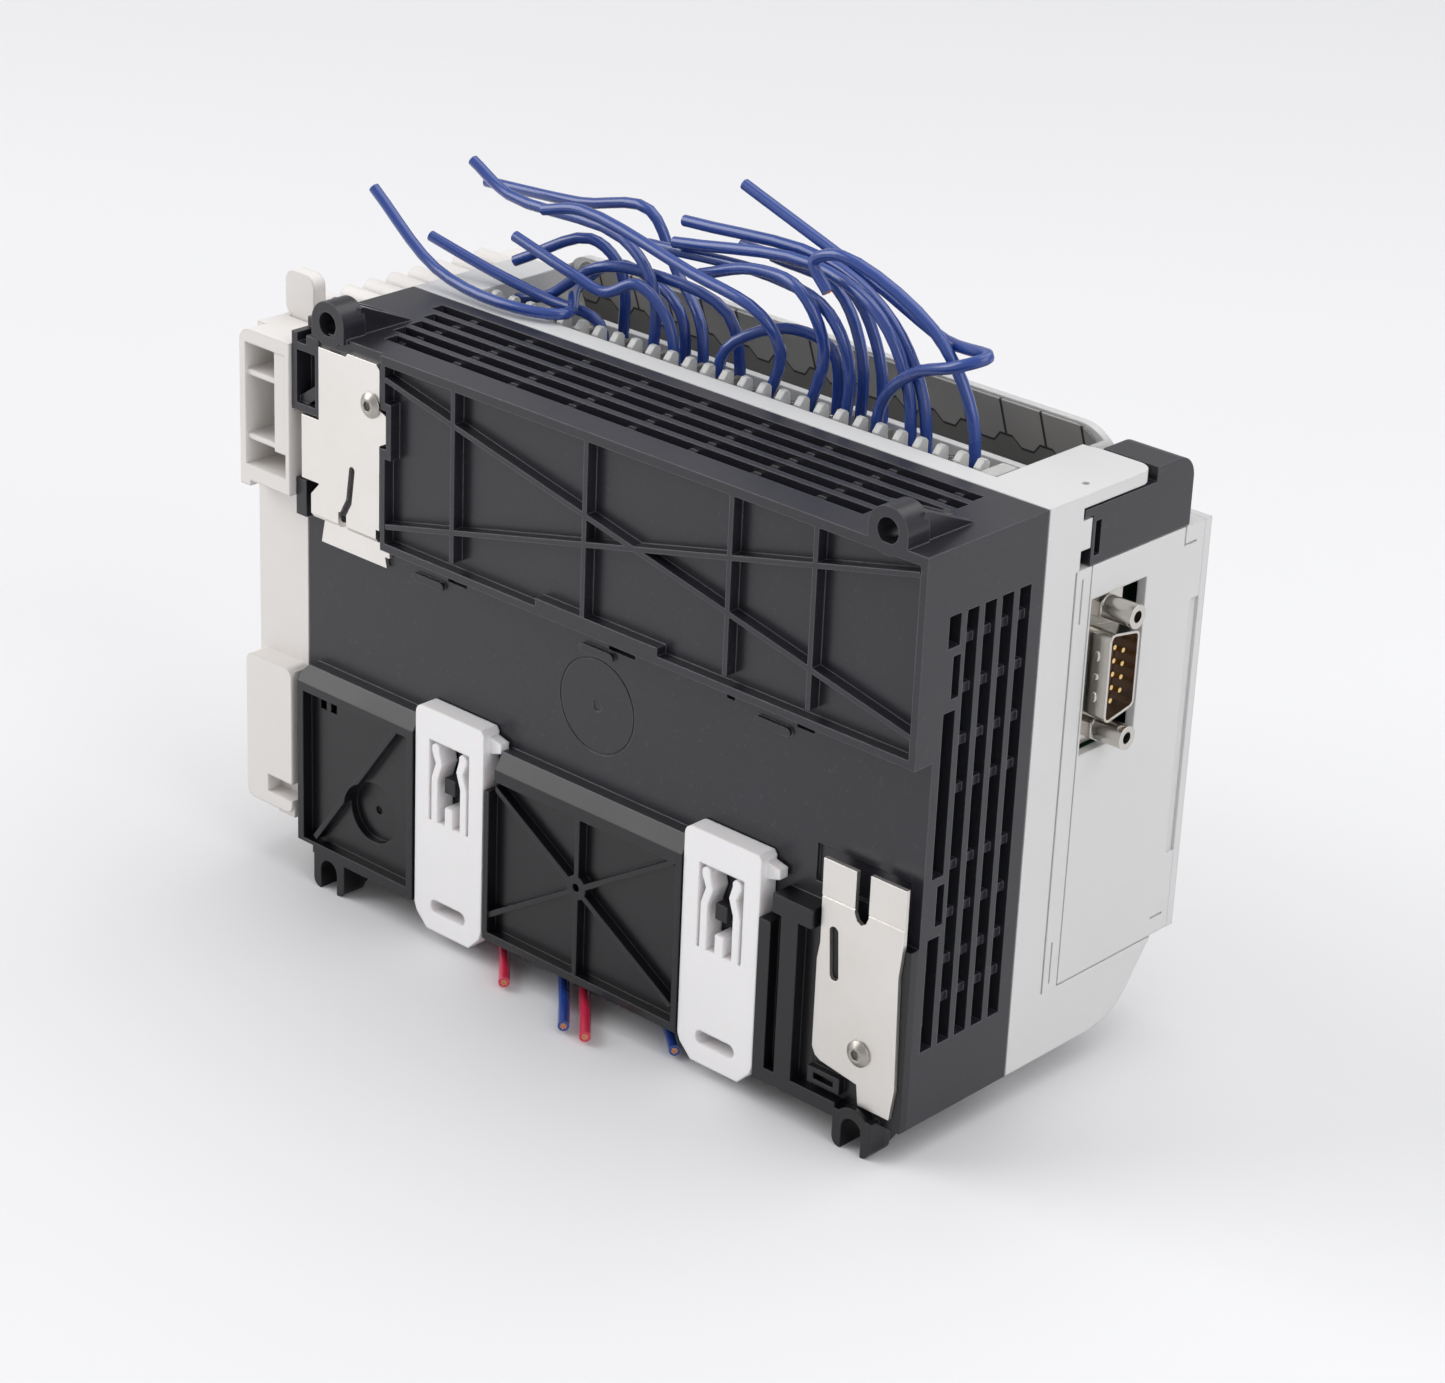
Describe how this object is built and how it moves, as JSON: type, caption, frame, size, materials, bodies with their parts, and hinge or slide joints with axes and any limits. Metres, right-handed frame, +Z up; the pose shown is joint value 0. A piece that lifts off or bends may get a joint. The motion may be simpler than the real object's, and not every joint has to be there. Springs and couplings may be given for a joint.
{
  "type": "programmable controller",
  "caption": "Rail-mounted programmable controller seen from its mounting side, with terminal wires, rail latches, serial port and end cap.",
  "frame": {"origin": "middle of the underside of the unit's overall box, at the level its lower mounting hooks stand on", "axes": "+X towards the serial port side, +Y towards the front doors, +Z up along the height"},
  "size_m": [0.1905, 0.0953, 0.1591],
  "materials": {
    "black_plastic": "fine moulded grain",
    "light_plastic": "fine moulded grain",
    "warm_plastic": "fine moulded grain",
    "white_plastic": "smooth satin",
    "terminal_plastic": "satin",
    "clear_plastic": "clear moulded",
    "label_card": "printed card",
    "nickel": "bright nickel plate",
    "gold": "gold flash",
    "brown_plastic": "satin",
    "blue_plastic": "gloss",
    "sleeve_plastic": "shrunk sleeve",
    "circuit_board": "solder mask",
    "core_steel": "varnished laminations",
    "blue_insulation": "semi-gloss PVC",
    "red_insulation": "semi-gloss PVC"
  },
  "bodies": {
    "unit": {"rear_housing": "black_plastic", "base_cover": "light_plastic", "corner_cover": "black_plastic", "processor_housing": "light_plastic", "processor_front": "light_plastic", "upper_terminals": "terminal_plastic", "lower_terminals": "terminal_plastic", "clamp_plates": "nickel", "terminal_screws": "nickel", "terminal_guards": "clear_plastic", "left_ground_plate": "nickel", "right_ground_plate": "nickel", "plate_screws": "nickel", "port_shell": "nickel", "port_insert": "brown_plastic", "port_pins": "gold", "port_jackscrews": "nickel", "power_board": "circuit_board", "io_board": "circuit_board", "processor_board": "circuit_board", "transformer": "core_steel", "capacitors": "sleeve_plastic", "relays": "black_plastic", "end_cap": "warm_plastic", "bus_connector": "black_plastic", "service_port": "black_plastic", "wire_a": "blue_insulation", "wire_b": "blue_insulation", "wire_c": "blue_insulation", "wire_d": "blue_insulation", "wire_e": "blue_insulation", "wire_f": "blue_insulation", "wire_g": "blue_insulation", "wire_h": "blue_insulation", "wire_j": "blue_insulation", "wire_k": "blue_insulation", "wire_l": "blue_insulation", "wire_m": "blue_insulation", "wire_n": "blue_insulation", "wire_o": "blue_insulation", "wire_p": "blue_insulation", "wire_q": "blue_insulation", "wire_r": "blue_insulation", "lower_wire_a": "red_insulation", "lower_wire_b": "blue_insulation", "lower_wire_c": "red_insulation", "lower_wire_d": "blue_insulation", "lower_wire_e": "blue_insulation"},
    "left_latch": {"left_latch": "white_plastic"},
    "right_latch": {"right_latch": "white_plastic"},
    "upper_door": {"upper_door": "light_plastic", "upper_label": "label_card"},
    "lower_door": {"lower_door": "light_plastic", "lower_label": "label_card"},
    "access_door": {"access_door": "light_plastic"},
    "mode_switch": {"mode_switch": "black_plastic"},
    "left_trim_pot": {"left_trim_pot": "blue_plastic"},
    "right_trim_pot": {"right_trim_pot": "blue_plastic"},
    "bus_lever": {"bus_lever": "warm_plastic"}
  },
  "joints": [
    {"name": "left_latch_slide", "type": "slide", "parent": "unit", "child": "left_latch", "axis": [0, 0, -1], "range_m": [0, 0.007]},
    {"name": "right_latch_slide", "type": "slide", "parent": "unit", "child": "right_latch", "axis": [0, 0, -1], "range_m": [0, 0.007]},
    {"name": "upper_door_hinge", "type": "hinge", "parent": "unit", "child": "upper_door", "pos_m": [0.00475, 0.037, 0.095], "axis": [-1, 0, 0], "range_deg": [0, 95]},
    {"name": "lower_door_hinge", "type": "hinge", "parent": "unit", "child": "lower_door", "pos_m": [0.00475, 0.037, 0.037], "axis": [1, 0, 0], "range_deg": [0, 95]},
    {"name": "access_door_hinge", "type": "hinge", "parent": "unit", "child": "access_door", "pos_m": [0.06665, 0.0421, 0.073], "axis": [0, 0, -1], "range_deg": [0, 110]},
    {"name": "mode_switch_slide", "type": "slide", "parent": "unit", "child": "mode_switch", "axis": [0, 0, -1], "range_m": [0, 0.004]},
    {"name": "left_trim_turn", "type": "hinge", "parent": "unit", "child": "left_trim_pot", "pos_m": [0.05175, 0.0385, 0.064], "axis": [0, 1, 0], "range_deg": [-135, 135]},
    {"name": "right_trim_turn", "type": "hinge", "parent": "unit", "child": "right_trim_pot", "pos_m": [0.06075, 0.0385, 0.064], "axis": [0, 1, 0], "range_deg": [-135, 135]},
    {"name": "bus_lever_slide", "type": "slide", "parent": "unit", "child": "bus_lever", "axis": [1, 0, 0], "range_m": [0, 0.005]}
  ]
}
